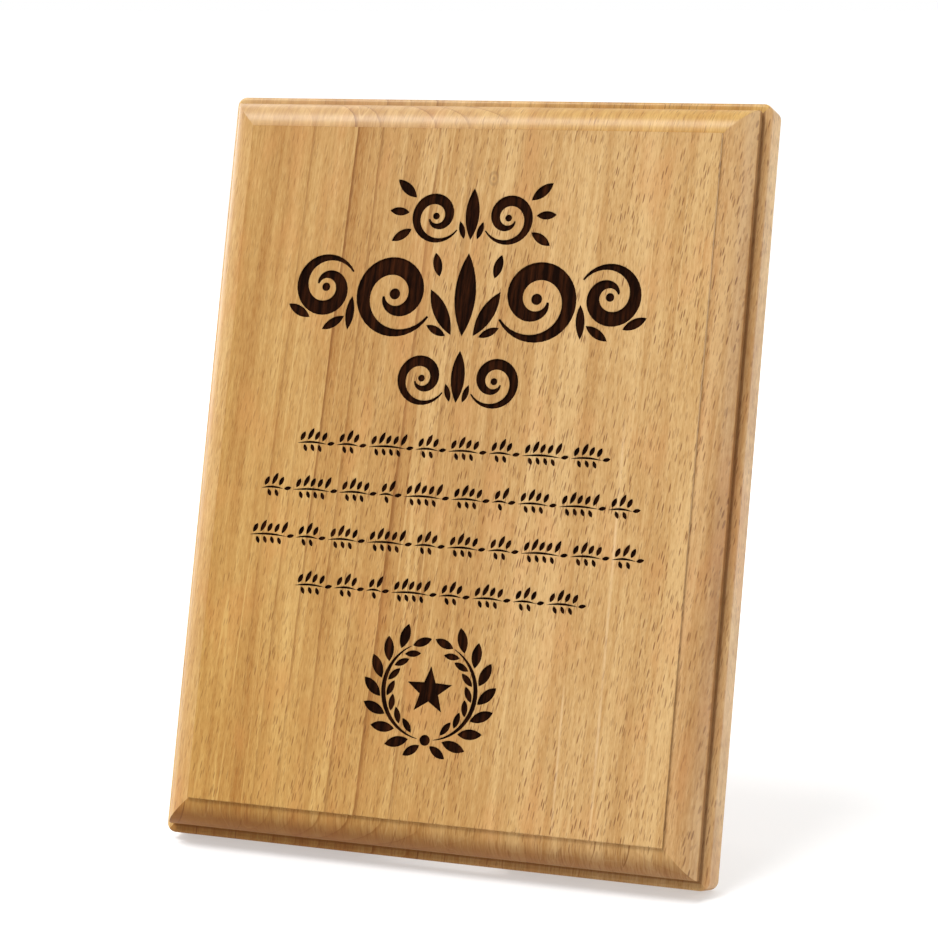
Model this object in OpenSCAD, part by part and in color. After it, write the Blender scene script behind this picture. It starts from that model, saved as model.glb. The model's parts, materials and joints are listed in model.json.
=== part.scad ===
// Engraved beech plaque with a folding easel leg and a keyhole hanger.
//
// Every piece is drawn on a board that lies on its back: x across the board, y up its face from
// the bottom edge, and z from the back (0) towards the face (board_t). The leg is drawn folded
// about the hinge pin. standing() then leans the whole plaque back on its rear bottom edge, with
// the face towards -Y and the floor at z = 0.

/* [Board] */
// Width of the board
board_w = 150; // [130:1:200]
// Height of the board, measured up its face
board_h = 200; // [195:1:260]
// Thickness of the board
board_t = 20; // [20:0.5:24]
// Radius of the board's four corners, seen from the front
corner_r = 2.5; // [2.2:0.1:4]
// Rounding of the rim's front edge
rim_ease = 1; // [0.4:0.1:1]
// Rounding of the rear edge, on which the board stands
rear_ease = 0.8; // [0.4:0.1:1]

/* [Moulded edge] */
// Width of the flat rim round the moulding
rim_w = 2.5; // [1.5:0.5:4]
// Thickness of the board at the rim
rim_t = 10; // [8:0.5:11]
// Height of the upright step between the rim and the quarter round
step_h = 2; // [1:0.5:3]
// Radius of the quarter round
round_r = 7.25; // [5:0.25:8]
// Width of the narrow ledge between the quarter round and the raised face
ledge_w = 0.25; // [0.25:0.25:2]

/* [Engraving] */
// Depth of the engraving
engrave_d = 0.4; // [0.2:0.1:1]
// Height of the middle of each of the three flourishes
flourish_y = [167.3, 146.2, 124.6];
// Height of the middle of each garland of sprigs
garland_y = [106.2, 93.8, 81.3, 68.8];
// Height of the middle of the wreath
wreath_y = 43.5; // [36:0.5:48]
// Lean of the sprigs' leaves
leaf_slant = 24; // [0:1:35]

/* [Stand] */
// Lean of the board, from upright
lean = 15; // [12:1:18]
// Angle between the board's back and the open leg
leg_angle = 21.5; // [20:0.5:22]
// Height of the hinge pin, measured up the board
pin_y = 130; // [125:1:135]
// Width of the leg
leg_w = 34; // [32:1:40]
// Gap between the leg and each side of its pocket
leg_gap = 2; // [1:0.5:3]
// Depth of the pocket in the back that takes the folded leg
pocket_d = 11; // [11:0.1:11.5]
// Distance of the folded leg's outer face below the back
leg_inset = 0.4; // [0.2:0.1:1]
// Depth of the pocket at the bottom edge, less than the rim's thickness so the rim stays whole
toe_d = 6; // [5:0.5:6.5]
// Height up the board at which the pocket gets its full depth
toe_h = 14; // [12:1:18]
// Thickness of the rubber pad under the leg
pad_t = 1; // [0.6:0.1:2]

/* [Hinge] */
// Width of the hinge
hinge_w = 30; // [26:1:30]
// Height of each leaf, from the pin's axis
leaf_h = 20; // [16:1:24]
// Thickness of each leaf
leaf_t = 1.1; // [0.8:0.1:1.2]
// Outer radius of the knuckles
knuckle_r = 1.8; // [1.6:0.1:2]
// Radius of the pin
pin_r = 1; // [0.8:0.05:1.1]
// Running clearance between the pin and the leg's knuckles, on the radius
pin_clear = 0.05; // [0.02:0.01:0.1]

/* [Hanger] */
// Height of the keyhole plate's middle, measured up the board
plate_y = 165; // [162:1:168]
// Width of the keyhole plate
plate_w = 16; // [14:1:18]
// Height of the keyhole plate
plate_h = 44; // [42:1:46]
// Thickness of the keyhole plate
plate_t = 1.5; // [1:0.1:2]
// Radius of the round hole that a wall screw's head goes through
entry_r = 4.5; // [4:0.1:5]
// Width of the slot that a wall screw's neck slides up
slot_w = 4.6; // [4:0.1:5]
// Depth, from the back, of the hollow that takes the screw's head
hollow_d = 9; // [7:0.5:10]
// Radius of the two rubber wall bumpers
bumper_r = 4; // [3:0.5:5]
// Height of the wall bumpers
bumper_h = 1.6; // [1:0.1:2]

/* [Hidden] */
$fn = 48;
beech = "#d2a066";
brass = "#c9a24a";
steel = "#b9bcc0";
rubber = "#2b2a29";

ledge_h = board_t - rim_t - step_h - round_r;
face_inset = rim_w + round_r + ledge_w;
pin_z = pocket_d - knuckle_r - 0.2;
stop_y = 5;
stop_gap = 0.05;
toe_gap = 0.4;
leg_face = -knuckle_r;
leg_back = leg_inset - pin_z;
leg_t = leg_face - leg_back;
toe_face = toe_d - toe_gap - pin_z;
pocket_w = leg_w + 2 * leg_gap;
swing = leg_angle - lean;
scoop_y = 36;
scoop_r = 9;
scoop_d = 7;
knuckles = 5;
knuckle_gap = 0.2;
hinge_screw_x = 9;
hinge_screw_y = 12;
plate_corner_r = 4;
plate_screw_y = plate_h / 2 - 5;
entry_y = -5;
slot_top = 7;
hollow_w = 12;
hollow_h = 23;

// Screws: length, shank radius, head radius and head height.
board_screw = [6.5, 1.1, 2.1, leaf_t];
leg_screw = [5.5, 1.1, 2.1, leaf_t];
plate_screw = [11, 1.4, 2.8, 1.4];

// Sprigs and bumpers.
sprig_pitch = 2.05;
sprig_tip = 2.3;
bumper_inset = 13;
bumper_y = 12;
bumper_ease = 0.6;

// The rounded rear edge carries the board, so the sharp corner it replaces is below the floor.
floor_y = rear_ease * (sin(lean) + cos(lean) - 1);
front_reach = face_inset * sin(lean) - board_t * cos(lean);
rear_reach = (board_h - rear_ease) * sin(lean) - rear_ease * cos(lean) + rear_ease;
pin_height = pin_y * cos(lean) + pin_z * sin(lean) - floor_y;

// ---- Placing ----

module standing() {
    translate([0, -(front_reach + rear_reach) / 2, -floor_y])
        rotate([90 - lean, 0, 0])
            children();
}

module at_pin() {
    translate([0, pin_y, pin_z])
        children();
}

module opened() {
    at_pin()
        rotate([leg_angle, 0, 0])
            children();
}

module mirrored() {
    children();
    mirror([1, 0, 0])
        children();
}

// ---- Shared shapes ----

// A rectangle with round corners, centred.
module round_rect(w, h, r) {
    square([w - 2 * r, h], center = true);
    square([w, h - 2 * r], center = true);
    for (x = [-1, 1], y = [-1, 1])
        translate([x * (w / 2 - r), y * (h / 2 - r)])
            circle(r);
}

// A countersunk wood screw, its head flush with z = 0 and its point towards -z.
module screw_body(size) {
    length = size[0];
    shank_r = size[1];
    head_h = size[3];
    tip = 2 * shank_r;
    translate([0, 0, -head_h])
        cylinder(r1 = shank_r, r2 = size[2], h = head_h);
    translate([0, 0, tip - length])
        cylinder(r = shank_r, h = length - tip - head_h);
    translate([0, 0, -length])
        cylinder(r1 = shank_r / 4, r2 = shank_r, h = tip);
}

// The screw with a cross recess in its head.
module wood_screw(size) {
    head_r = size[2];
    difference() {
        screw_body(size);
        for (turn = [0, 90])
            rotate([0, 0, turn])
                cube([head_r * 1.25, head_r / 4.5, size[3]], center = true);
    }
}

// A screw, or the solid shape that it fills.
module screw(size, solid) {
    if (solid)
        screw_body(size);
    else
        wood_screw(size);
}

// Screws face the back of the board (-z) or the front of the leg (+z).
module board_screws(solid) {
    mirrored()
        at_pin()
            translate([hinge_screw_x, -hinge_screw_y, pocket_d - leaf_t - pin_z])
                rotate([180, 0, 0])
                    screw(board_screw, solid);
}

module leg_screws(solid) {
    mirrored()
        translate([hinge_screw_x, -hinge_screw_y, leaf_t - knuckle_r])
            screw(leg_screw, solid);
}

module plate_screws(solid) {
    for (side = [-1, 1])
        translate([0, plate_y + side * plate_screw_y, 0])
            rotate([180, 0, 0])
                screw(plate_screw, solid);
}

// ---- Engraved ornament ----

// Points along a spiral about c, as its radius goes from r0 to r1 and its angle from a0 to a1.
function spiral(c, r0, r1, a0, a1, n) = [
    for (i = [0:n])
        let(t = i / n, a = a0 + (a1 - a0) * t)
        c + (r0 + (r1 - r0) * t) * [cos(a), sin(a)]
];

// One edge of a stroke along path: it swells to half of w at the middle and is thin at the ends.
function stroke_edge(path, w, side) = [
    for (i = [0:len(path) - 1])
        let(
            ahead = path[min(i + 1, len(path) - 1)],
            behind = path[max(i - 1, 0)],
            along = (ahead - behind) / norm(ahead - behind),
            swell = 0.12 + 0.88 * sin(180 * i / (len(path) - 1))
        )
        path[i] + side * w / 2 * swell * [-along[1], along[0]]
];

module stroke(path, w) {
    left = stroke_edge(path, w, 1);
    right = stroke_edge(path, w, -1);
    polygon(concat(left, [for (i = [len(right) - 1:-1:0]) right[i]]));
}

// A pointed leaf from the origin up +y, bounded by two arcs.
module leaf(length, w) {
    r = (length * length + w * w) / (4 * w);
    translate([0, length / 2])
        intersection() {
            translate([r - w / 2, 0])
                circle(r);
            translate([w / 2 - r, 0])
                circle(r);
        }
}

module leaf_at(x, y, turn, length, w) {
    translate([x, y])
        rotate(turn)
            leaf(length, w);
}

// A scroll that starts low on the left, runs round to the right and winds in to a round eye.
module scroll(r, w, turns) {
    stroke(spiral([0, 0], r, r * 0.28, -150, -150 + 360 * turns, 48), w);
    circle(r * 0.13);
}

// A pair of scrolls back to back about an upright leaf, with or without trailing leaves.
module small_flourish(tails) {
    leaf_at(0, -6.6, 0, 13.6, 3.8);
    mirrored() {
        leaf_at(1.8, -6.4, -17, 4.8, 1.6);
        translate([10, -0.6])
            scroll(7, 2.8, 1.35);
        if (tails) {
            leaf_at(15.9, 4.2, -50, 7.2, 2.7);
            leaf_at(17.6, 0.2, -86, 5.4, 2.2);
            leaf_at(16.6, -4.2, -122, 6.2, 2.4);
        }
    }
}

// The broad flourish: two scrolls each way from a palmette.
module broad_flourish() {
    leaf_at(0, -10.8, 0, 21.8, 5.8);
    mirrored() {
        leaf_at(3.1, -10.6, -29, 13.4, 3.9);
        leaf_at(4.6, -10.9, -64, 6, 2.1);
        leaf_at(7.6, 4.6, -14, 6.4, 2.5);
        translate([19.6, -0.4])
            scroll(11.2, 4.7, 1.38);
        leaf_at(31.5, -1.4, -176, 9, 2.4);
        leaf_at(33.4, -6.8, -122, 7, 2.4);
        translate([39.2, 0.8])
            mirror([0, 1, 0])
                scroll(8.6, 3.8, 1.36);
        leaf_at(43.2, -7.4, -62, 7, 2.5);
    }
}

// A sprig that grows along x: n leaves lean from above its stem, n - 1 smaller ones from below
// it, and one more ends it.
module sprig(n) {
    stem_w = 0.55;
    arch = 0.4;
    gap = 0.58;
    length = n * sprig_pitch;
    stroke([for (i = [0:12]) [length * i / 12, arch * sin(15 * i)]], stem_w);
    for (i = [0:n - 1])
        leaf_at((i + 0.4) * sprig_pitch, arch * sin(180 * (i + 0.4) / n) + gap, -leaf_slant,
            i % 3 == 1 ? 3.5 : 2.6, 1.2);
    for (i = [1:n - 1])
        leaf_at((i - 0.1) * sprig_pitch, arch * sin(180 * i / n) - gap, 180 + leaf_slant, 2, 1);
    leaf_at(length + 0.2, 0, -78, sprig_tip - 0.2, 1);
}

// A row of sprigs, centred. Each number is one sprig's leaves.
module garland(leaves) {
    space = 2.9;
    starts = [for (i = [0:len(leaves)]) sum_to(leaves, i) * sprig_pitch + i * space];
    row = starts[len(leaves)] - space + sprig_tip;
    for (i = [0:len(leaves) - 1])
        translate([starts[i] - row / 2, -0.9])
            sprig(leaves[i]);
}

function sum_to(list, n) = n == 0 ? 0 : list[n - 1] + sum_to(list, n - 1);

module star(r) {
    polygon([for (i = [0:9]) (i % 2 == 0 ? r : r * 0.42) * [sin(36 * i), cos(36 * i)]]);
}

// Two laurel branches that rise from a tie round a star.
module wreath() {
    branch_r = 12.6;
    step = 20;
    star(6.4);
    translate([0, -branch_r])
        circle(1.4);
    mirrored() {
        leaf_at(1.4, -branch_r - 1.4, -124, 5.2, 2.2);
        stroke(spiral([0, 0], branch_r, branch_r, -80, 62, 20), 1.2);
        for (i = [0:6])
            rotate(-70 + step * i) {
                leaf_at(branch_r + 0.9, 0, -36, 6.6, 2.7);
                leaf_at(branch_r - 0.9, 0, 34, 4.4, 1.7);
            }
        rotate(64)
            leaf_at(branch_r, 0, 4, 5.4, 2.2);
    }
}

module cut_in_face(y) {
    translate([0, y, board_t - engrave_d])
        linear_extrude(engrave_d + 1)
            children();
}

module engraving() {
    cut_in_face(flourish_y[0])
        small_flourish(true);
    cut_in_face(flourish_y[1])
        broad_flourish();
    cut_in_face(flourish_y[2])
        small_flourish(false);
    cut_in_face(garland_y[0])
        garland([4, 3, 5, 3, 4, 3, 5, 4]);
    cut_in_face(garland_y[1])
        garland([3, 5, 4, 2, 5, 4, 2, 4, 5, 3]);
    cut_in_face(garland_y[2])
        garland([5, 3, 4, 5, 3, 4, 3, 5, 4, 3]);
    cut_in_face(garland_y[3])
        garland([4, 3, 2, 5, 3, 4, 3, 4]);
    cut_in_face(wreath_y)
        wreath();
}

// ---- Board ----

// Section of the rim slab from its middle (x = 0) to its outer edge (x = reach).
module rim_section(reach) {
    square([reach - rear_ease, rim_t / 2]);
    translate([0, rim_t / 2])
        square([reach - rim_ease, rim_t / 2]);
    translate([0, rear_ease])
        square([reach, rim_t - rear_ease - rim_ease]);
    translate([reach - rear_ease, rear_ease])
        circle(rear_ease);
    translate([reach - rim_ease, rim_t - rim_ease])
        circle(rim_ease);
}

// A bar of length l along y, with the rim's section on both sides.
module rim_bar(w, l) {
    translate([0, l / 2, 0])
        rotate([90, 0, 0])
            linear_extrude(l)
                mirrored()
                    rim_section(w / 2);
}

module rim_slab() {
    inner_w = board_w - 2 * corner_r;
    inner_h = board_h - 2 * corner_r;
    rim_bar(board_w, inner_h);
    rotate([0, 0, 90])
        rim_bar(board_h, inner_w);
    for (quarter = [0:3])
        mirror([quarter % 2, 0, 0])
            mirror([0, quarter > 1 ? 1 : 0, 0])
                translate([inner_w / 2, inner_h / 2, 0])
                    rotate_extrude(angle = 90)
                        rim_section(corner_r);
}

// Section of the quarter round across a board of size w.
module round_section(w) {
    reach = w / 2 - rim_w;
    intersection() {
        union() {
            square([2 * (reach - round_r), 2 * round_r], center = true);
            for (side = [-1, 1])
                translate([side * (reach - round_r), 0])
                    circle(round_r);
        }
        translate([-reach, 0])
            square([2 * reach, round_r]);
    }
}

module round_bar(w, l) {
    translate([0, l / 2, 0])
        rotate([90, 0, 0])
            linear_extrude(l)
                round_section(w);
}

module moulding() {
    translate([0, 0, rim_t + step_h])
        intersection() {
            round_bar(board_w, board_h);
            rotate([0, 0, 90])
                round_bar(board_h, board_w);
        }
    translate([0, 0, rim_t + step_h / 2])
        cube([board_w - 2 * rim_w, board_h - 2 * rim_w, step_h], center = true);
    translate([0, 0, board_t - ledge_h / 2])
        cube([board_w - 2 * face_inset, board_h - 2 * face_inset, ledge_h], center = true);
}

// The folded leg's pocket, shallower at the bottom edge, with a finger scoop on each side.
module leg_pocket() {
    top = pin_y + stop_y + stop_gap;
    translate([0, (top + toe_h) / 2, -1])
        linear_extrude(pocket_d + 1)
            round_rect(pocket_w, top - toe_h, leg_gap);
    translate([-pocket_w / 2, -1, -1])
        cube([pocket_w, toe_h + 2 * leg_gap + 1, toe_d + 1]);
    mirrored()
        translate([pocket_w / 2, scoop_y, -1])
            cylinder(r = scoop_r, h = scoop_d + 1);
}

module hanger_recess() {
    translate([0, plate_y, -1]) {
        linear_extrude(plate_t + 1)
            round_rect(plate_w, plate_h, plate_corner_r);
        translate([0, (entry_y + slot_top) / 2, 0])
            linear_extrude(hollow_d + 1)
                round_rect(hollow_w, hollow_h, plate_corner_r);
    }
}

module plaque_board() {
    color(beech)
        standing()
            difference() {
                translate([0, board_h / 2, 0]) {
                    rim_slab();
                    moulding();
                }
                leg_pocket();
                hanger_recess();
                board_screws(true);
                plate_screws(true);
                engraving();
            }
}

// ---- Hanger ----

module keyhole() {
    translate([0, entry_y, -1])
        cylinder(r = entry_r, h = plate_t + 2);
    translate([0, slot_top, -1])
        cylinder(r = slot_w / 2, h = plate_t + 2);
    translate([-slot_w / 2, entry_y, -1])
        cube([slot_w, slot_top - entry_y, plate_t + 2]);
}

module keyhole_plate() {
    color(steel)
        standing()
            difference() {
                translate([0, plate_y, 0])
                    difference() {
                        linear_extrude(plate_t)
                            round_rect(plate_w, plate_h, plate_corner_r);
                        keyhole();
                    }
                plate_screws(true);
            }
}

module keyhole_screws() {
    color(steel)
        standing()
            plate_screws(false);
}

// Two flat rubber discs with round edges.
module wall_bumpers() {
    color(rubber)
        standing()
            mirrored()
                translate([board_w / 2 - bumper_inset, bumper_y, -bumper_h])
                    rotate_extrude() {
                        square([bumper_r - bumper_ease, bumper_h]);
                        translate([0, bumper_ease])
                            square([bumper_r, bumper_h - bumper_ease]);
                        translate([bumper_r - bumper_ease, bumper_ease])
                            circle(bumper_ease);
                    }
}

// ---- Hinge ----

function knuckle_x(k) = (k / knuckles - 0.5) * hinge_w + knuckle_gap / 2;

// A leaf whose plate lies from z = plate_z and whose knuckles start at number first.
module hinge_leaf(plate_z, first, bore_r) {
    knuckle_w = hinge_w / knuckles - knuckle_gap;
    plate_top = -knuckle_r - 0.3;
    difference() {
        union() {
            translate([0, (plate_top - leaf_h) / 2, plate_z])
                linear_extrude(leaf_t)
                    round_rect(hinge_w - knuckle_gap, leaf_h + plate_top, 1);
            for (k = [first:2:knuckles - 1])
                translate([knuckle_x(k), 0, 0]) {
                    rotate([0, 90, 0])
                        cylinder(r = knuckle_r, h = knuckle_w);
                    translate([0, plate_top - 2, plate_z])
                        cube([knuckle_w, 2 - plate_top, leaf_t]);
                }
        }
        rotate([0, 90, 0])
            cylinder(r = bore_r, h = hinge_w + 2, center = true);
    }
}

module board_hinge_leaf() {
    color(brass)
        standing()
            difference() {
                at_pin()
                    hinge_leaf(pocket_d - leaf_t - pin_z, 0, pin_r);
                board_screws(true);
            }
}

module board_leaf_screws() {
    color(brass)
        standing()
            board_screws(false);
}

module hinge_pin() {
    color(brass)
        standing()
            at_pin()
                rotate([0, 90, 0]) {
                    cylinder(r = pin_r, h = hinge_w, center = true);
                    for (side = [-1, 1])
                        translate([0, 0, side * (hinge_w / 2 + 0.15)])
                            cylinder(r = pin_r + 0.4, h = 0.5, center = true);
                }
}

module leg_hinge_leaf() {
    color(brass)
        standing()
            opened()
                difference() {
                    hinge_leaf(-knuckle_r, 1, pin_r + pin_clear);
                    leg_screws(true);
                }
}

module leg_leaf_screws() {
    color(brass)
        standing()
            opened()
                leg_screws(false);
}

// ---- Leg ----

// Height up the folded leg, from the pin, of the plane that lies on the floor once it is open.
function foot_y(z, above) = (above - pin_height + z * sin(swing)) / cos(swing);

// Height of the plane that meets the pocket's upper end once the leg is open.
function stop_line(z) = (stop_y + z * sin(leg_angle)) / cos(leg_angle);

// A side view of the folded leg, as [y, z] points from the pin, made as wide as the leg.
module leg_side(outline) {
    rotate([90, 0, 90])
        translate([0, 0, -leg_w / 2])
            linear_extrude(leg_w)
                polygon(outline);
}

// A bar with the leg's section and softened edges, longer than the leg.
module leg_bar() {
    translate([0, stop_y + 5, leg_face - leg_t / 2])
        rotate([90, 0, 0])
            linear_extrude(pin_y + 20)
                round_rect(leg_w, leg_t, 0.8);
}

// The leg is planed thinner over its toe, where the pocket is shallow.
module easel_leg() {
    toe_top = toe_h + 3 - pin_y;
    color(beech)
        standing()
            opened()
                difference() {
                    intersection() {
                        leg_side([
                            [foot_y(leg_back, pad_t), leg_back],
                            [stop_line(leg_back), leg_back],
                            [stop_line(leg_face), leg_face],
                            [toe_top + 8, leg_face],
                            [toe_top, toe_face],
                            [foot_y(toe_face, pad_t), toe_face]
                        ]);
                        leg_bar();
                    }
                    rotate([0, 90, 0])
                        cylinder(r = knuckle_r + 0.3, h = leg_w + 2, center = true);
                    leg_screws(true);
                }
}

module foot_pad() {
    color(rubber)
        standing()
            opened()
                intersection() {
                    leg_side([
                        [foot_y(leg_back, 0), leg_back],
                        [foot_y(leg_back, pad_t), leg_back],
                        [foot_y(toe_face, pad_t), toe_face],
                        [foot_y(toe_face, 0), toe_face]
                    ]);
                    leg_bar();
                }
}

plaque_board();
keyhole_plate();
keyhole_screws();
wall_bumpers();
board_hinge_leaf();
board_leaf_screws();
hinge_pin();
easel_leg();
leg_hinge_leaf();
leg_leaf_screws();
foot_pad();
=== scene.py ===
"""Engraved beech plaque on a folding easel leg.

The plaque leans back on its rear bottom edge. Across the board is u, up its face is v and from
its back to its face is w, all in millimetres in the materials.
"""
import json
import math

import bpy
from bpy.props import FloatProperty, FloatVectorProperty, PointerProperty
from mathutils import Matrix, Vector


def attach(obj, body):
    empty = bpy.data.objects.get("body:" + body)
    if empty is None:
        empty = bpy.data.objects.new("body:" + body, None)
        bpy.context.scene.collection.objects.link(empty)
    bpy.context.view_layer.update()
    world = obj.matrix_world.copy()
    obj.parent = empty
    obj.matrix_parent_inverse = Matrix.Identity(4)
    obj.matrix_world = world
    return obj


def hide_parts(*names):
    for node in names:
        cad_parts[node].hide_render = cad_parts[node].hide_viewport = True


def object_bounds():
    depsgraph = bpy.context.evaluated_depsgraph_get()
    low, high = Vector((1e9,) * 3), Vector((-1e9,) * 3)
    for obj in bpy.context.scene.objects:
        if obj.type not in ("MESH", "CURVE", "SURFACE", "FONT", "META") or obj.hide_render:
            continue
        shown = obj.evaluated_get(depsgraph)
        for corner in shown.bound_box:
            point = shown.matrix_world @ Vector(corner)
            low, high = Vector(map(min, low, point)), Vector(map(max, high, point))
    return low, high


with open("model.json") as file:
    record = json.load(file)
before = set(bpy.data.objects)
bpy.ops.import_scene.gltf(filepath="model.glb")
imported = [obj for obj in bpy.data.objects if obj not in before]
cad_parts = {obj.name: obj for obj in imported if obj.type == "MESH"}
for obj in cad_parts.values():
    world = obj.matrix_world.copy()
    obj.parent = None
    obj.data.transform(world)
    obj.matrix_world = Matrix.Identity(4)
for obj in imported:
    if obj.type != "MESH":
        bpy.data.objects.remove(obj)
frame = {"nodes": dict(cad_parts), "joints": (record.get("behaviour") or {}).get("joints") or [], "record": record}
CAD_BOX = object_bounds()
NODES = frame["nodes"]
JOINT = frame["joints"][0]
MOUNTS = {mount["name"]: mount for mount in frame["record"]["mounts"]}

bl_info = {
    "name": "Engraved Plaque",
    "version": (1, 0, 0),
    "blender": (4, 5, 0),
    "location": "View3D > Sidebar > Plaque",
    "description": "Finishes an engraved beech plaque, its easel leg, hinge and wall hanger",
    "category": "Object",
}

MM = 0.001

# Places on the board, in millimetres: u from its middle, v from its foot.
STREAKS = ((46.0, 0.05, 64.0, 40.0), (36.0, 0.0, 29.0, 9.0))  # u, half width, v, half length
KNOT = (5.0, 177.0)
KNOT_R = 1.1
RAIL = 12.0  # how far from the back the sides are sawn square
ENGRAVING_REACH = 1.0  # the engraving is cut less deep than this and stays this far inside
RING_GAP = 3.4
SOFT_CORNER = 0.45
GRAIN_RELIEF = 0.05

FLOOR_SIZE = 160
SENSOR_W = 36
LIGHTS = (  # kind, name, place, angle or width, and the stage's property for its power
    ("SUN", "key_light", (-0.42, -0.56, 1.4), math.radians(28), "key_power"),
    ("AREA", "fill_light", (0.95, 0.12, 0.35), 0.6, "fill_power"),
    ("AREA", "side_light", (-1.0, 0.62, 0.6), 1.2, "side_power"),
    ("AREA", "window_light", (-1.1, -0.28, 0.22), 0.5, "window_power"),
    ("AREA", "rear_light", (0.3, 1.1, 0.8), 0.8, "rear_power"),
)


# ---- Sizes, finishes and stage ----

def colour(name, description, rgb):
    """A colour property whose default is given as 0 to 255 display values."""
    linear = [((c / 255 + 0.055) / 1.055) ** 2.4 if c > 10 else c / 255 / 12.92 for c in rgb]
    return FloatVectorProperty(
        name=name, description=description, default=linear, size=3, subtype="COLOR",
        min=0, max=1)


def length(name, description, default):
    """A size property in metres."""
    return FloatProperty(
        name=name, description=description, default=default, unit="LENGTH", precision=5)


def angle(name, description, degrees):
    """An angle property whose default is given in degrees."""
    return FloatProperty(
        name=name, description=description, default=math.radians(degrees), unit="ROTATION")


class PlaqueSizes(bpy.types.PropertyGroup):
    """Sizes of the plaque that the finishes follow."""

    board_w: length("Board width", "Width of the board", CAD_BOX[1][0] - CAD_BOX[0][0])
    board_h: length("Board height", "Height of the board, up its face", 0.2)
    board_t: length("Board thickness", "Thickness of the board at its face", 0.02)
    face_inset: length("Face inset", "Distance from the edge to the raised face", 0.01)
    rim_w: length("Rim width", "Width of the flat rim round the moulding", 0.0025)
    step_w: length("Step place", "Middle of the step beside the rim, from the back", 0.011)
    rear_ease: length("Rear easing", "Radius of the rear edge it stands on", 0.0008)
    lean: angle(
        "Lean", "Lean of the board from upright",
        math.degrees(math.asin(-MOUNTS["keyhole_entry"]["axis"][2])))
    leg_angle: angle("Leg angle", "Angle between board and open leg", JOINT["range_deg"][1])
    hardware_edge: length("Hardware edge", "Softening of the metal edges", 0.00012)
    leg_edge: length("Leg edge", "Softening of the leg's cut edges", 0.0004)


class PlaqueFinish(bpy.types.PropertyGroup):
    """Colours of the plaque's wood, metal and rubber."""

    beech_dark: colour("Beech, dark", "Late wood of the beech", (160, 110, 56))
    beech_mid: colour("Beech, middle", "Body of the beech", (185, 143, 88))
    beech_light: colour("Beech, light", "Early wood of the beech", (210, 174, 120))
    # Also used as painted shade in the quirk and as a painted shadow under the step at the foot of the face.
    ray: colour("Rays", "Tint of the short dark rays", (112, 66, 30))
    rosy: colour("Rosy tint", "Blotches where the wood is pinker", (200, 142, 88))
    # Painted shade: a darker, pinker tint on the moulding on the right, which faces away from the light.
    right_side_shade: colour("Right wash", "Tint of the moulding on the right", (251, 246, 248))
    warm: colour("Warm tint", "Tint of the deeper wood, low on the left", (252, 246, 212))
    # Painted highlight on the head end grain and on the step high on the face; also the colour of the real pale
    # streaks.
    pale_grain_and_highlight: colour("Head grain", "Tint of the pale end grain at the head", (244, 216, 174))
    # Also painted sheen: where this tint fades out, towards the top and on the left moulding, the wood looks
    # paler.
    knot: colour("Pin knot", "Small grey knot near the head", (122, 92, 62))
    # Real darker end grain at the foot, deepened as painted shade where the foot moulding faces down.
    end_grain: colour("End grain", "Tint of the end grain at the foot", (122, 74, 34))
    burn_dark: colour("Burn, dark", "Deepest colour of the engraving", (18, 4, 0))
    burn_light: colour("Burn, light", "Colour of the grain left in the engraving", (60, 28, 9))
    brass: colour("Brass", "Hinge, pin and hinge screws", (214, 176, 104))
    steel: colour("Steel", "Hanger plate", (150, 153, 160))
    screw_steel: colour("Screw steel", "Screws of the hanger plate", (118, 118, 122))
    rubber: colour("Rubber", "Wall bumpers and foot pad", (34, 33, 32))


class PlaqueStage(bpy.types.PropertyGroup):
    """Floor, lights and camera."""

    key_power: FloatProperty(
        name="Key light", description="Strength of the soft light above", default=2.7, min=0)
    fill_power: FloatProperty(
        name="Fill light", description="Power of the light on the right", default=2, min=0,
        unit="POWER")
    side_power: FloatProperty(
        name="Side light", description="Power of the light low behind, on the left", default=10,
        min=0, unit="POWER")
    window_power: FloatProperty(
        name="Window light", description="Power of the light on the left", default=1.2, min=0,
        unit="POWER")
    rear_power: FloatProperty(
        name="Rear light", description="Power of the light behind", default=5, min=0,
        unit="POWER")
    room: FloatProperty(
        name="Room", description="Brightness of the pale room", default=0.42, min=0)
    horizon: FloatProperty(
        name="Horizon", description="Brightness of the room where it meets the floor",
        default=1.0, min=0)
    floor: colour("Floor", "Colour of the floor", (196, 196, 196))
    floor_glow: FloatProperty(
        name="Floor glow", description="Light of the floor itself, which softens the shadow",
        default=0.45, min=0, max=2)
    camera_place: FloatVectorProperty(
        name="Camera place", description="Place of the camera",
        default=(0.2514, -0.67383, 0.22062), subtype="TRANSLATION", unit="LENGTH", precision=5)
    camera_side: angle("Camera side", "Turn of the camera to the left", 20.353)
    camera_down: angle("Camera tilt", "Angle of the camera below level", 9.466)
    camera_lens: FloatProperty(
        name="Lens", description="Focal length on a 36 mm wide sensor", default=107.06)


# ---- Shader maths ----

class Wire:
    """A socket in a material; sums and products of wires add Math nodes."""

    def __init__(self, shader, socket):
        self.shader = shader
        self.socket = socket

    def math(self, operation, *others):
        sockets = dict(enumerate((self, *others)))
        return self.shader.node("ShaderNodeMath", {"operation": operation}, sockets)

    def __add__(self, other):
        return self.math("ADD", other)

    def __sub__(self, other):
        return self.math("SUBTRACT", other)

    def __rsub__(self, other):
        return self.math("MULTIPLY", -1.0).math("ADD", other)

    def __mul__(self, other):
        return self.math("MULTIPLY", other)

    def __truediv__(self, other):
        return self.math("DIVIDE", other)

    __radd__ = __add__
    __rmul__ = __mul__

    def sibling(self, name):
        """Another output of the same node."""
        return Wire(self.shader, self.socket.node.outputs[name])

    def middle(self, centre, half, soft):
        """1 within half of centre and 0 beyond soft more than that."""
        return 1 - (self - centre).math("ABSOLUTE").step(half, half + soft)

    def step(self, low, high):
        """0 below low and 1 above high, smooth between."""
        sockets = {"Value": self, "From Min": low, "From Max": high}
        settings = {"interpolation_type": "SMOOTHSTEP"}
        return self.shader.node("ShaderNodeMapRange", settings, sockets)


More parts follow.
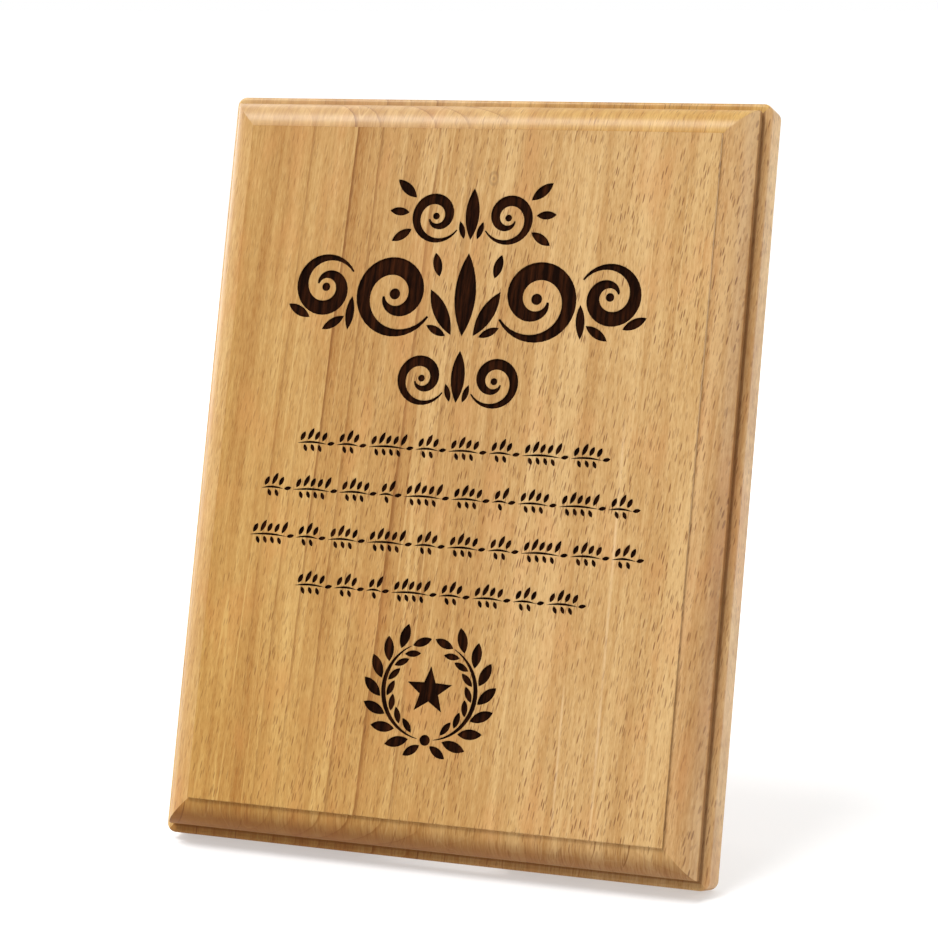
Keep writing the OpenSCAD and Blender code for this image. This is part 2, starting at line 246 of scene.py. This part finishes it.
class Shader:
    """A node tree, of a material or of the room."""

    def __init__(self, tree):
        self.tree = tree

    @classmethod
    def material(cls, name):
        made = bpy.data.materials.new(name)
        made.use_nodes = True
        shader = cls(made.node_tree)
        shader.made = made
        return shader

    def node(self, kind, settings, sockets, out=0):
        """Any node: its settings are set first, then its sockets. Gives the wire named out."""
        made = self.tree.nodes.new(kind)
        for name, value in settings.items():
            if name == "stops":
                self.set_stops(made.color_ramp, value)
            else:
                setattr(made, name, value)
        for key, value in sockets.items():
            self.feed(made.inputs[key], value)
        return Wire(self, made.outputs[out])

    def feed(self, socket, value):
        if isinstance(value, Wire):
            self.tree.links.new(value.socket, socket)
        elif socket.type == "RGBA":
            socket.default_value = (*value, 1)
        else:
            socket.default_value = value

    def set_stops(self, ramp, stops):
        while len(ramp.elements) < len(stops):
            ramp.elements.new(0.5)
        for element, (place, rgb) in zip(ramp.elements, stops):
            element.position = place
            element.color = (*rgb, 1)

    def object_place(self):
        """Object coordinates as three wires, in metres."""
        place = self.node("ShaderNodeTexCoord", {}, {}, "Object")
        return [self.node("ShaderNodeSeparateXYZ", {}, {0: place}, axis) for axis in "XYZ"]

    def vector(self, x, y, z):
        return self.node("ShaderNodeCombineXYZ", {}, {"X": x, "Y": y, "Z": z})

    def noise(self, x, y, z, detail=2.0, roughness=0.5, scale=1.0):
        sockets = {
            "Vector": self.vector(x, y, z), "Scale": scale, "Detail": detail,
            "Roughness": roughness}
        return self.node("ShaderNodeTexNoise", {}, sockets, "Fac")

    def flecks(self, x, y, z, small, large):
        """Scattered flecks, one in each unit cube, each with its own strength."""
        sockets = {"Vector": self.vector(x, y, z), "Scale": 1.0}
        distance = self.node("ShaderNodeTexVoronoi", {"feature": "F1"}, sockets, "Distance")
        chance = distance.sibling("Color")
        strength = self.node("ShaderNodeSeparateColor", {}, {0: chance}, "Red")
        return (1 - distance.step(small, large)) * (strength * 0.65 + 0.35)

    def mix(self, a, b, factor, blend="MIX"):
        """Colour a towards colour b, or blended with it."""
        settings = {"data_type": "RGBA", "blend_type": blend}
        return self.node("ShaderNodeMix", settings, {0: factor, 6: a, 7: b}, 2)

    def bump(self, height, distance, strength=1.0):
        sockets = {"Height": height, "Distance": distance, "Strength": strength}
        return self.node("ShaderNodeBump", {}, sockets)

    def set(self, **sockets):
        """Sets the Principled shader's sockets; an underscore stands for a space."""
        principled = self.tree.nodes["Principled BSDF"]
        for name, value in sockets.items():
            self.feed(principled.inputs[name.replace("_", " ")], value)
        return self.made


# ---- Materials ----

def rear_edge(sizes):
    """Place of the board's sharp rear bottom edge, before it was eased, as (y, z)."""
    lean = sizes.lean
    front = sizes.face_inset * math.sin(lean) - sizes.board_t * math.cos(lean)
    rear = (sizes.board_h - sizes.rear_ease) * math.sin(lean)
    rear += sizes.rear_ease * (1 - math.cos(lean))
    drop = sizes.rear_ease * (math.sin(lean) + math.cos(lean) - 1)
    return -(front + rear) / 2, -drop


def board_axes(shader, sizes):
    """u, v and w on the leaning board, in millimetres."""
    x, y, z = shader.object_place()
    edge_y, edge_z = rear_edge(sizes)
    sin, cos = math.sin(sizes.lean) / MM, math.cos(sizes.lean) / MM
    back = y - edge_y
    up = z - edge_z
    return x / MM, back * sin + up * cos, up * sin - back * cos


def leg_axes(shader, sizes):
    """u, v and w on the open leg, from the hinge pin, in millimetres."""
    x, y, z = shader.object_place()
    swing = sizes.leg_angle - sizes.lean
    sin, cos = math.sin(swing) / MM, math.cos(swing) / MM
    back = y - JOINT["pos_m"][1]
    up = z - JOINT["pos_m"][2]
    return x / MM, up * cos - back * sin, up * sin * -1 - back * cos


def beech(
        shader, finish, u, v, w, slant=0.035, tone_shift=0.0, rays=1.0, pith=(38, -115),
        sawn=RAIL):
    """Colour and height of steamed beech, its grain along v.

    slant is how far the grain drifts sideways, tone_shift lightens the wood, rays is how much
    its rays show and pith is the tree's middle as (u, w). The sides are sawn square up to the w
    called sawn, with narrow rays. Each divisor is the size of a feature in millimetres.
    """
    wander = shader.noise(u / 60, v / 190, w / 60, detail=1.5) - 0.5
    across = u - v * slant + wander * 10
    broad = shader.noise(across / 5.5, v / 150, w / 14, detail=3, roughness=0.6) - 0.5
    fine = shader.noise(across / 1.3, v / 24, w / 10, detail=3) - 0.5
    hair = shader.noise(across / 0.35, v / 3.2, w / 5, detail=2, roughness=0.65) - 0.5

    # Growth rings round a pith behind the board: each darkens slowly, then ends in a line.
    away = (across - pith[0]).math("POWER", 2.0) + (w - pith[1]).math("POWER", 2.0)
    rings = away.math("SQRT") / RING_GAP + wander * 1.2 + fine * 0.1
    number = rings.math("FLOOR")
    turn = rings.math("FRACT")
    strength = shader.noise(number * 3.7, v / 260, number * 1.3, detail=0).step(0.3, 0.7)
    side = across.middle(pith[0] - 65, 15, 18) * 0.85 + 0.15
    ramp = turn * turn * strength * side
    line = turn.step(0.86, 0.96) * (1 - turn.step(0.98, 1.0)) * (strength * 0.85 + 0.15) * side
    tone = broad * 0.9 + fine * 0.45 + hair * 0.72 - ramp * 0.36 + (0.57 + tone_shift)
    stops = [(0.16, finish.beech_dark), (0.5, finish.beech_mid), (0.86, finish.beech_light)]
    wood = shader.node("ShaderNodeValToRGB", {"stops": stops}, {"Fac": tone}, "Color")
    wood = shader.mix(wood, finish.ray, line * 0.6)
    blotch = shader.noise(u / 9, v / 24, w / 20, detail=2).step(0.48, 0.72)
    wood = shader.mix(wood, finish.rosy, blotch * 0.3)

    # A few thin pale streaks run the length of the grain.
    streak = (shader.noise(across / 8, v / 300, w / 12, detail=1) - 0.5).math("ABSOLUTE")
    broken = shader.noise(u / 20, v / 45, w / 20, detail=1).step(0.42, 0.6)
    wood = shader.mix(wood, finish.beech_light, (1 - streak.step(0.003, 0.016)) * broken * 0.6)

    # Rays: short dark dashes that lean a little more than the grain.
    lean = u - v * 0.14
    patch = shader.noise(u / 16, v / 30, w / 30, detail=1).step(0.3, 0.6) * 0.4 + 0.6
    depth = w.math("MAXIMUM", sawn) / 6 + w.math("MINIMUM", sawn) / 0.9
    long_ray = shader.flecks(lean / 0.62, v / 4.6, depth, 0.2, 0.34)
    short_ray = shader.flecks(lean / 0.5, v / 2.6, depth, 0.16, 0.34)
    ray = long_ray.math("MAXIMUM", short_ray * 0.5) * rays * patch
    wood = shader.mix(wood, finish.ray, ray * 0.85)
    height = hair * 0.3 - ray * 0.6
    return wood, height, hair, fine


def board_material(sizes, finish):
    shader = Shader.material("beech_board")
    u, v, w = board_axes(shader, sizes)
    side_edge = sizes.board_w / 2 / MM - u.math("ABSOLUTE")
    end_edge = v.math("MINIMUM", sizes.board_h / MM - v)
    edge = side_edge.math("MINIMUM", end_edge)
    face_w = sizes.board_t / MM
    inset = sizes.face_inset / MM
    across = u / (sizes.board_w / MM)
    height_up = v / (sizes.board_h / MM)
    end_grain = end_edge.math("LESS_THAN", inset) * end_edge.math("LESS_THAN", side_edge)
    rays = (across - height_up * 0.3).step(-0.7, -0.1) * 0.6 + 0.4 - end_grain * 0.3
    side = side_edge.math("LESS_THAN", inset) * (1 - end_grain) * w.math("GREATER_THAN", 9.0)
    left = side * u.math("LESS_THAN", 0.0)
    # Painted light: the moulding on the left is lightened, and the one on the right is tinted darker and pinker as
    # painted shade, as if lit from the left.
    wood, height, hair, fine = beech(
        shader, finish, u, v, w, tone_shift=across * 0.16 + left * 0.14, rays=rays)
    wood = shader.mix(wood, finish.right_side_shade, side - left, "MULTIPLY")

    # End grain shows on the moulding at the head and the foot, but not on the flat back.
    end = end_grain * w.math("GREATER_THAN", 1.0)
    foot_end = end * (1 - height_up.step(0.4, 0.6))
    head_end = end - foot_end

    # The wood is deeper and warmer low on the left. Painted sheen: the warm tint fades towards the top and on the
    # left moulding, so these look paler, and it stays along the right of the head, away from the light on the
    # upper left.
    warm_tone_and_sheen = (across * -1.6 - height_up * 0.8 + 0.5).math("MAXIMUM", 0.0) * (1 - left * 0.6)
    warm_tone_and_sheen = warm_tone_and_sheen + head_end * (across * 4.0 + 0.4).math("MAXIMUM", 0.0)
    wood = shader.mix(wood, finish.warm, warm_tone_and_sheen.math("MINIMUM", 1.0), "MULTIPLY")

    # The end grain has fine lines down its slope and slanting cuts. The head is lightened as painted highlight,
    # most on the left; the foot is darker end grain deepened as painted shade, most of all low on the slope.
    lines = shader.noise(u / 0.45, v / 30, w / 12, detail=2).step(0.5, 0.75)
    wood = shader.mix(wood, finish.pale_grain_and_highlight, head_end * (0.1 - across * 0.25))
    slope = 1 - edge / inset
    cuts = shader.flecks((u - w * 0.75) / 1.7, v / 400, w / 24, 0.08, 0.16)
    stain_and_shade = end * (lines * 0.12 + cuts * 0.2)
    # Painted shade: darker low on the foot's slope, where it faces down.
    low_slope = slope.step(0.1, 0.65) * 0.6 - slope.step(0.72, 0.78) * 0.3
    stain_and_shade = stain_and_shade + foot_end * (low_slope - across * 0.35 + lines * 0.15 + 0.2)
    wood = shader.mix(wood, finish.end_grain, stain_and_shade.math("MINIMUM", 0.8))
    wood = shader.mix(wood, finish.ray, foot_end * cuts * 0.8)

    # Long pale streaks run up the right, and a pin knot sits near the head.
    broken_light = shader.noise(u / 3, v / 12, w / 3, detail=2) * 1.4
    first, second = (
        u.middle(place, half_w, 0.5) * v.middle(middle, half_h, 16.0)
        for place, half_w, middle, half_h in STREAKS)
    streak = first.math("MAXIMUM", second)
    wood = shader.mix(wood, finish.pale_grain_and_highlight, streak * broken_light * 0.33)
    off_u = (u - KNOT[0]).math("POWER", 2.0)
    off_v = (v - KNOT[1]).math("POWER", 2.0)
    from_knot = (off_u + off_v * 0.5).math("SQRT")
    rim = from_knot.middle(KNOT_R, 0.1, 0.4) * 0.35
    knot = rim + (1 - from_knot.step(0.1, 0.6)) * 0.55
    wood = shader.mix(wood, finish.knot, knot)

    # The cutter burnished the corner between the rim and the step, and the corner is darkened further as painted
    # shade.
    # The step at the foot of the face is darkened low down as a painted shadow and lightened higher up as a
    # painted highlight.
    rim_w = sizes.rim_w / MM
    broken = shader.noise(u / 3, v / 9, w / 3, detail=2) * 0.7 + 0.45
    quirk_burn_and_shade = edge.middle(rim_w, 0.3, 0.6) * w.middle(sizes.step_w / MM, 1.0, 0.8)
    quirk_burn_and_shade = quirk_burn_and_shade * broken * (1 - head_end * 0.9)
    wood = shader.mix(wood, finish.ray, quirk_burn_and_shade.math("MINIMUM", 0.6))
    # Painted shadow under the step low on the face, and a painted highlight on it higher up.
    foot = edge.middle(inset - 0.1, 0.1, 0.25) * w.middle(face_w - 0.4, 0.2, 0.15)
    low = 1 - height_up.step(0.2, 0.7)
    wood = shader.mix(wood, finish.ray, foot * broken * low * 0.6)
    wood = shader.mix(wood, finish.pale_grain_and_highlight, foot * (1 - low) * 0.7)

    # The engraving is everything below the face within the face's outline.
    inside = edge.math("GREATER_THAN", inset + ENGRAVING_REACH)
    deep = w.math("LESS_THAN", face_w - 0.02)
    deep = deep * w.math("GREATER_THAN", face_w - ENGRAVING_REACH)
    burnt = inside * deep
    grain = (fine * 2.6 + hair * 1.2 + 0.25).math("MAXIMUM", 0.0).math("MINIMUM", 1.0)
    scorched = shader.mix(finish.burn_dark, finish.burn_light, grain)
    paint = shader.mix(wood, scorched, burnt)
    rounded = shader.node("ShaderNodeBevel", {"samples": 4}, {"Radius": SOFT_CORNER * MM})
    bump = shader.node(
        "ShaderNodeBump", {},
        {"Height": height, "Distance": GRAIN_RELIEF * MM, "Strength": 0.6, "Normal": rounded})
    return shader.set(
        Base_Color=paint, Roughness=burnt * 0.25 + hair * 0.12 + 0.5, Normal=bump,
        Specular_IOR_Level=0.04, Coat_Weight=(1 - burnt) * (1 - foot_end * 0.7) * 0.5,
        Coat_Roughness=0.36)


def leg_material(sizes, finish):
    shader = Shader.material("beech_leg")
    u, v, w = leg_axes(shader, sizes)
    wood, height, hair, _ = beech(
        shader, finish, u + 9, v + 310, w + 25, slant=-0.012, tone_shift=0.06, sawn=50.0)
    return shader.set(
        Base_Color=wood, Roughness=hair * 0.12 + 0.55,
        Normal=shader.bump(height, GRAIN_RELIEF * MM, 0.6), Specular_IOR_Level=0.3)


def metal_material(name, rgb, brushed, roughness):
    """Metal with fine drawn lines across x and a little tarnish."""
    shader = Shader.material(name)
    x, y, z = shader.object_place()
    lines = shader.noise(x * 160, y * 5200, z * 5200, detail=2) - 0.5
    tarnish = shader.noise(x * 300, y * 300, z * 300, detail=3)
    dull = tuple(c * 0.72 for c in rgb)
    return shader.set(
        Base_Color=shader.mix(rgb, dull, tarnish.step(0.45, 0.8)), Metallic=1.0,
        Roughness=lines * brushed + tarnish * 0.14 + roughness,
        Normal=shader.bump(lines, 0.02 * MM, 0.4))


def rubber_material(finish):
    shader = Shader.material("black_rubber")
    x, y, z = shader.object_place()
    grain = shader.noise(x * 2600, y * 2600, z * 2600, detail=3)
    dust = shader.noise(x * 240, y * 240, z * 240, detail=4).step(0.5, 0.85)
    dusty = tuple(c * 0.6 + 0.05 for c in finish.rubber)
    return shader.set(
        Base_Color=shader.mix(finish.rubber, dusty, dust * 0.7),
        Roughness=grain * 0.2 + 0.62, Normal=shader.bump(grain, 0.04 * MM, 0.5))


# ---- Pieces ----

def dress(node, material):
    """Gives a CAD node one material."""
    slots = NODES[node].material_slots
    for slot in slots:
        slot.material = material
    if not slots:
        NODES[node].data.materials.append(material)


def softened(node, body, edge, material):
    """A copy of a CAD node with its sharp edges softened, standing for it."""
    bpy.ops.object.select_all(action="DESELECT")
    source = NODES[node]
    source.select_set(True)
    bpy.context.view_layer.objects.active = source
    bpy.ops.object.duplicate()
    piece = bpy.context.active_object
    piece.name = node + "_finished"
    for key in [key for key in piece.keys() if key.startswith("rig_")]:
        del piece[key]
    piece.parent = None
    bpy.ops.object.mode_set(mode="EDIT")
    bpy.ops.mesh.select_all(action="SELECT")
    bpy.ops.mesh.remove_doubles(threshold=1e-6)
    bpy.ops.mesh.dissolve_limited(angle_limit=math.radians(0.5))
    bpy.ops.object.mode_set(mode="OBJECT")
    bevel = piece.modifiers.new("Soft edges", "BEVEL")
    bevel.width = edge
    bevel.segments = 2
    bevel.limit_method = "ANGLE"
    bevel.angle_limit = math.radians(38)
    bevel.harden_normals = False
    bpy.ops.object.modifier_apply(modifier=bevel.name)
    bpy.ops.object.shade_smooth_by_angle(angle=math.radians(32))
    piece.data.materials.clear()
    piece.data.materials.append(material)
    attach(piece, body)
    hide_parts(node)
    return piece


class PLAQUE_OT_board(bpy.types.Operator):
    """Finish the board in beech with a burnt engraving"""

    bl_idname = "plaque.board"
    bl_label = "Board"

    def execute(self, context):
        scene = context.scene
        dress("plaque_board", board_material(scene.plaque_sizes, scene.plaque_finish))
        return {"FINISHED"}


class PLAQUE_OT_leg(bpy.types.Operator):
    """Finish the easel leg in plain beech"""

    bl_idname = "plaque.leg"
    bl_label = "Easel leg"

    def execute(self, context):
        scene = context.scene
        material = leg_material(scene.plaque_sizes, scene.plaque_finish)
        softened("easel_leg", "leg", scene.plaque_sizes.leg_edge, material)
        return {"FINISHED"}


class PLAQUE_OT_hinge(bpy.types.Operator):
    """Finish the brass hinge, its pin and its screws"""

    bl_idname = "plaque.hinge"
    bl_label = "Hinge"

    def execute(self, context):
        scene = context.scene
        edge = scene.plaque_sizes.hardware_edge
        brass = metal_material("brass_hinge", tuple(scene.plaque_finish.brass), 0.25, 0.3)
        pieces = {
            "board_hinge_leaf": "board", "board_leaf_screws": "board", "hinge_pin": "board",
            "leg_hinge_leaf": "leg", "leg_leaf_screws": "leg"}
        for node, body in pieces.items():
            softened(node, body, edge, brass)
        return {"FINISHED"}


class PLAQUE_OT_hanger(bpy.types.Operator):
    """Finish the keyhole plate and its screws"""

    bl_idname = "plaque.hanger"
    bl_label = "Keyhole hanger"

    def execute(self, context):
        scene = context.scene
        edge = scene.plaque_sizes.hardware_edge
        steel = metal_material("plated_steel", tuple(scene.plaque_finish.steel), 0.18, 0.34)
        dark = metal_material("screw_steel", tuple(scene.plaque_finish.screw_steel), 0.1, 0.4)
        softened("keyhole_plate", "board", edge, steel)
        softened("keyhole_screws", "board", edge, dark)
        return {"FINISHED"}


class PLAQUE_OT_rubber(bpy.types.Operator):
    """Finish the wall bumpers and the foot pad in black rubber"""

    bl_idname = "plaque.rubber"
    bl_label = "Rubber pads"

    def execute(self, context):
        scene = context.scene
        edge = scene.plaque_sizes.hardware_edge
        rubber = rubber_material(scene.plaque_finish)
        softened("wall_bumpers", "board", edge, rubber)
        softened("foot_pad", "leg", edge, rubber)
        return {"FINISHED"}


# ---- Stage ----

def light(kind, name, place, target, size, power):
    """A light at place, aimed at target."""
    bpy.ops.object.light_add(type=kind, location=place)
    made = bpy.context.active_object
    made.name = name
    made.data.energy = power
    if kind == "SUN":
        made.data.angle = size
    else:
        made.data.size = size
    aim = target - made.location
    made.rotation_euler = aim.to_track_quat("-Z", "Y").to_euler()


def white_room(stage):
    """A room of even light, brighter where it meets the floor."""
    world = bpy.data.worlds.new("white_room")
    world.use_nodes = True
    shader = Shader(world.node_tree)
    way = shader.node("ShaderNodeTexCoord", {}, {}, "Generated")
    up = shader.node("ShaderNodeSeparateXYZ", {}, {0: way}, "Z").math("ABSOLUTE")
    even = tuple([stage.room] * 3)
    bright = tuple([stage.horizon] * 3)
    background = world.node_tree.nodes["Background"]
    shader.feed(background.inputs["Color"], shader.mix(bright, even, up.step(0.02, 0.09)))
    return world


class PLAQUE_OT_stage(bpy.types.Operator):
    """Add the pale floor, the soft light and the camera"""

    bl_idname = "plaque.stage"
    bl_label = "Floor, light and camera"

    def execute(self, context):
        scene = context.scene
        stage = scene.plaque_stage
        middle = (CAD_BOX[0] + CAD_BOX[1]) / 2

        bpy.ops.object.select_all(action="DESELECT")
        bpy.ops.mesh.primitive_plane_add(size=FLOOR_SIZE, location=(0, 0, 0))
        floor = context.active_object
        floor.name = "floor"
        pale = Shader.material("floor_paint")
        paint = pale.set(
            Base_Color=tuple(stage.floor), Roughness=0.9, Specular_IOR_Level=0.1,
            Emission_Color=(1.0, 1.0, 1.0), Emission_Strength=stage.floor_glow)
        floor.data.materials.append(paint)

        for kind, name, place, size, power in LIGHTS:
            light(kind, name, place, middle, size, getattr(stage, power))
        scene.world = white_room(stage)
        scene.view_settings.view_transform = "Standard"

        bpy.ops.object.camera_add(
            location=stage.camera_place,
            rotation=(math.pi / 2 - stage.camera_down, 0, stage.camera_side))
        camera = context.active_object
        camera.name = "studio_camera"
        camera.data.lens = stage.camera_lens
        camera.data.sensor_width = SENSOR_W
        camera.data.clip_start = 0.01
        camera.data.clip_end = 200
        scene.camera = camera
        return {"FINISHED"}


class PLAQUE_PT_panel(bpy.types.Panel):
    """The plaque's sizes, finishes and steps"""

    bl_idname = "PLAQUE_PT_panel"
    bl_label = "Engraved plaque"
    bl_space_type = "VIEW_3D"
    bl_region_type = "UI"
    bl_category = "Plaque"

    def draw(self, context):
        scene = context.scene
        for group in (scene.plaque_sizes, scene.plaque_finish, scene.plaque_stage):
            box = self.layout.box()
            for name in group.__annotations__:
                box.prop(group, name)
        for step in STEPS:
            self.layout.operator(step.bl_idname)


GROUPS = {
    "plaque_sizes": PlaqueSizes, "plaque_finish": PlaqueFinish, "plaque_stage": PlaqueStage}
STEPS = (
    PLAQUE_OT_stage, PLAQUE_OT_board, PLAQUE_OT_leg, PLAQUE_OT_hinge, PLAQUE_OT_hanger,
    PLAQUE_OT_rubber)


def register():
    for name, group in GROUPS.items():
        bpy.utils.register_class(group)
        setattr(bpy.types.Scene, name, PointerProperty(type=group))
    for kind in (*STEPS, PLAQUE_PT_panel):
        bpy.utils.register_class(kind)


def unregister():
    for kind in (PLAQUE_PT_panel, *reversed(STEPS)):
        bpy.utils.unregister_class(kind)
    for name, group in GROUPS.items():
        delattr(bpy.types.Scene, name)
        bpy.utils.unregister_class(group)


def main():
    register()
    bpy.ops.plaque.stage()
    bpy.ops.plaque.board()
    bpy.ops.plaque.leg()
    bpy.ops.plaque.hinge()
    bpy.ops.plaque.hanger()
    bpy.ops.plaque.rubber()


if __name__ == "__main__":
    main()
